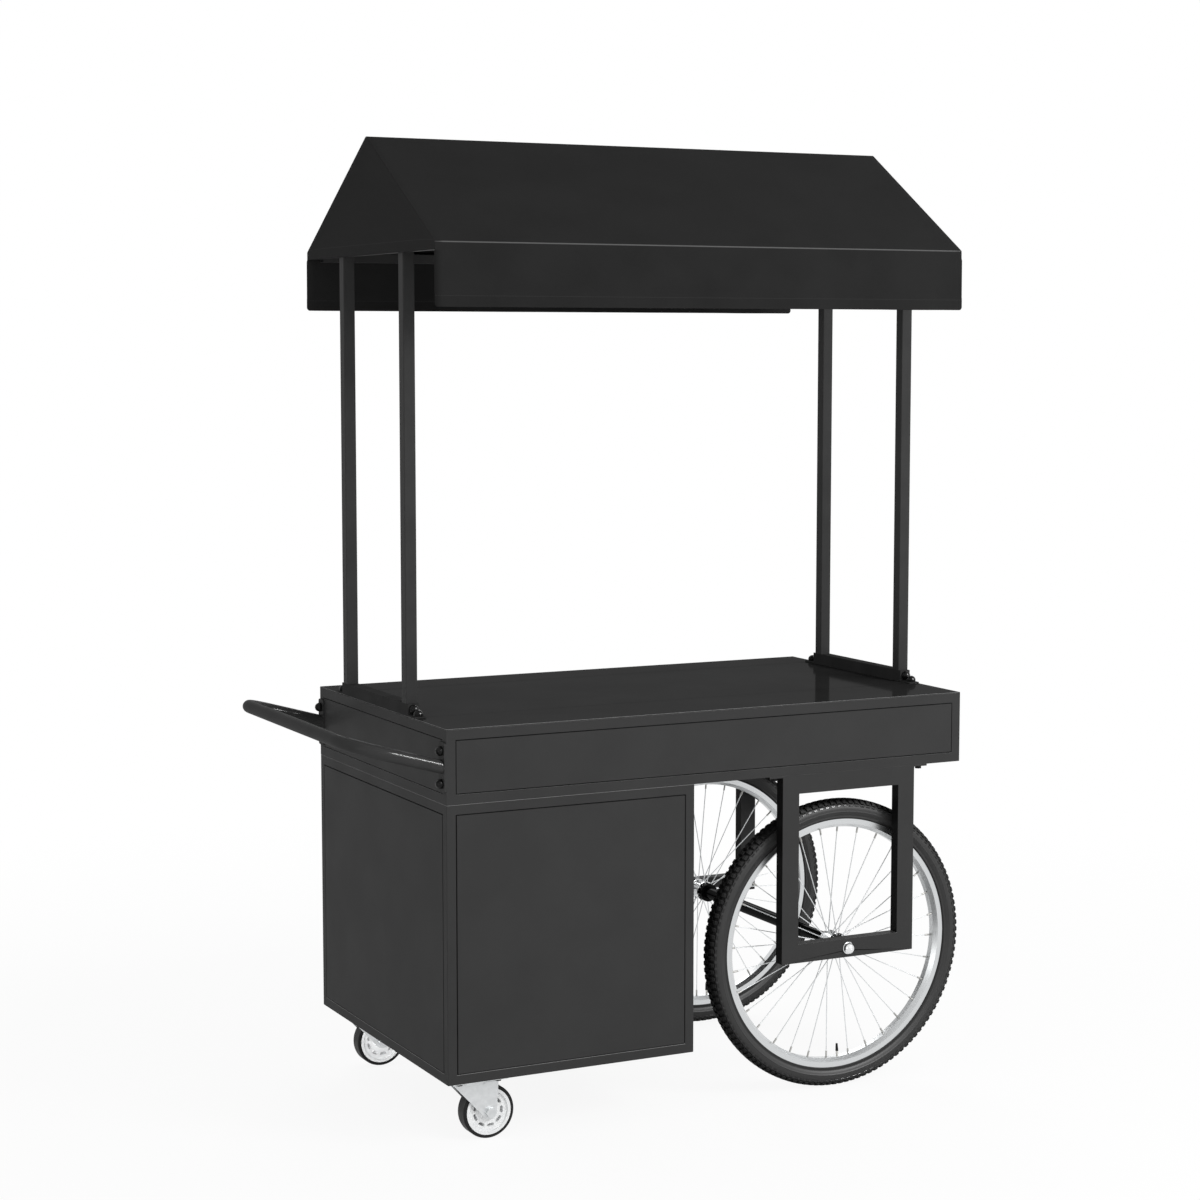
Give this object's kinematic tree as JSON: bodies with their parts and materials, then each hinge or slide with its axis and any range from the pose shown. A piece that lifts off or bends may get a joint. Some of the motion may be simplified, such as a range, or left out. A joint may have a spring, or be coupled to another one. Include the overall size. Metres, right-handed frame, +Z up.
{
  "type": "market cart",
  "caption": "Sales cart with a flat table on spoked wheels and swivel casters, a cabinet with doors, a push handle and a gabled cloth canopy on posts.",
  "frame": {"origin": "on the floor, halfway along the cart's whole length and halfway across the table", "axes": "+X from the handle end to the wheel end, +Y from the front to the doors at the back, +Z up"},
  "size_m": [1.4372, 0.75, 2.007],
  "materials": {
    "black_paint": "satin black powder coat, fine texture",
    "gloss_top": "semi-gloss black coated sheet",
    "canopy_cloth": "taut coated black cloth, matt",
    "tyre_rubber": "moulded black rubber",
    "black_rubber": "smooth black rubber",
    "rim_aluminium": "bright anodised",
    "spoke_steel": "drawn stainless wire",
    "bright_chrome": "polished plate",
    "zinc_steel": "bright zinc plate",
    "caster_nylon": "pale grey moulded nylon",
    "black_plastic": "moulded black plastic"
  },
  "bodies": {
    "cart": {"tabletop": "gloss_top", "table_frame": "black_paint", "table_front_panel": "black_paint", "table_rear_panel": "black_paint", "table_left_panel": "black_paint", "table_right_panel": "black_paint", "cabinet_frame": "black_paint", "cabinet_front_panel": "black_paint", "cabinet_left_panel": "black_paint", "cabinet_right_panel": "black_paint", "cabinet_floor": "black_paint", "frame_hinge_leaves": "black_paint", "hinge_pins": "zinc_steel", "door_catch": "black_plastic", "handle": "black_paint", "dome_bolts": "black_paint", "hex_bolts": "zinc_steel", "front_left_post": "black_paint", "rear_left_post": "black_paint", "front_right_post": "black_paint", "rear_right_post": "black_paint", "foot_bars": "black_paint", "foot_brackets": "black_paint", "left_gable_frame": "black_paint", "right_gable_frame": "black_paint", "ridge_tube": "black_paint", "eave_tubes": "black_paint", "canopy_cover": "canopy_cloth", "front_wheel_frame": "black_paint", "rear_wheel_frame": "black_paint", "axle_rod": "spoke_steel", "axle_tube": "black_paint", "axle_nuts": "bright_chrome", "front_caster_plate": "zinc_steel", "rear_caster_plate": "zinc_steel"},
    "left_door": {"left_door": "black_paint", "left_door_knob": "black_plastic", "left_door_hinge_leaves": "black_paint"},
    "right_door": {"right_door": "black_paint", "right_door_knob": "black_plastic", "right_door_hinge_leaves": "black_paint"},
    "front_wheel": {"front_tyre": "tyre_rubber", "front_inner_tube": "black_rubber", "front_rim": "rim_aluminium", "front_spokes": "spoke_steel", "front_hub": "bright_chrome"},
    "front_caster_fork": {"front_caster_fork": "zinc_steel", "front_caster_axle": "zinc_steel"},
    "front_caster_wheel": {"front_caster_core": "caster_nylon", "front_caster_tyre": "black_rubber"},
    "rear_wheel": {"rear_tyre": "tyre_rubber", "rear_inner_tube": "black_rubber", "rear_rim": "rim_aluminium", "rear_spokes": "spoke_steel", "rear_hub": "bright_chrome"},
    "rear_caster_fork": {"rear_caster_fork": "zinc_steel", "rear_caster_axle": "zinc_steel"},
    "rear_caster_wheel": {"rear_caster_core": "caster_nylon", "rear_caster_tyre": "black_rubber"}
  },
  "joints": [
    {"name": "front_wheel_spin", "type": "hinge", "parent": "cart", "child": "front_wheel", "pos_m": [0.40725, -0.29, 0.31134], "axis": [0, 1, 0], "continuous": true},
    {"name": "rear_wheel_spin", "type": "hinge", "parent": "cart", "child": "rear_wheel", "pos_m": [0.40725, 0.29, 0.31134], "axis": [0, 1, 0], "continuous": true},
    {"name": "front_caster_swivel", "type": "hinge", "parent": "cart", "child": "front_caster_fork", "pos_m": [-0.43809, -0.29, 0.12], "axis": [0, 0, 1], "continuous": true},
    {"name": "front_caster_roll", "type": "hinge", "parent": "front_caster_fork", "child": "front_caster_wheel", "pos_m": [-0.40809, -0.29, 0.055], "axis": [0, 1, 0], "continuous": true},
    {"name": "rear_caster_swivel", "type": "hinge", "parent": "cart", "child": "rear_caster_fork", "pos_m": [-0.43809, 0.29, 0.12], "axis": [0, 0, 1], "continuous": true},
    {"name": "rear_caster_roll", "type": "hinge", "parent": "rear_caster_fork", "child": "rear_caster_wheel", "pos_m": [-0.40809, 0.29, 0.055], "axis": [0, 1, 0], "continuous": true},
    {"name": "left_door_hinge", "type": "hinge", "parent": "cart", "child": "left_door", "pos_m": [-0.49359, 0.354, 0.412], "axis": [0, 0, 1], "range_deg": [0, 110]},
    {"name": "right_door_hinge", "type": "hinge", "parent": "cart", "child": "right_door", "pos_m": [0.01341, 0.354, 0.412], "axis": [0, 0, -1], "range_deg": [0, 110]}
  ]
}
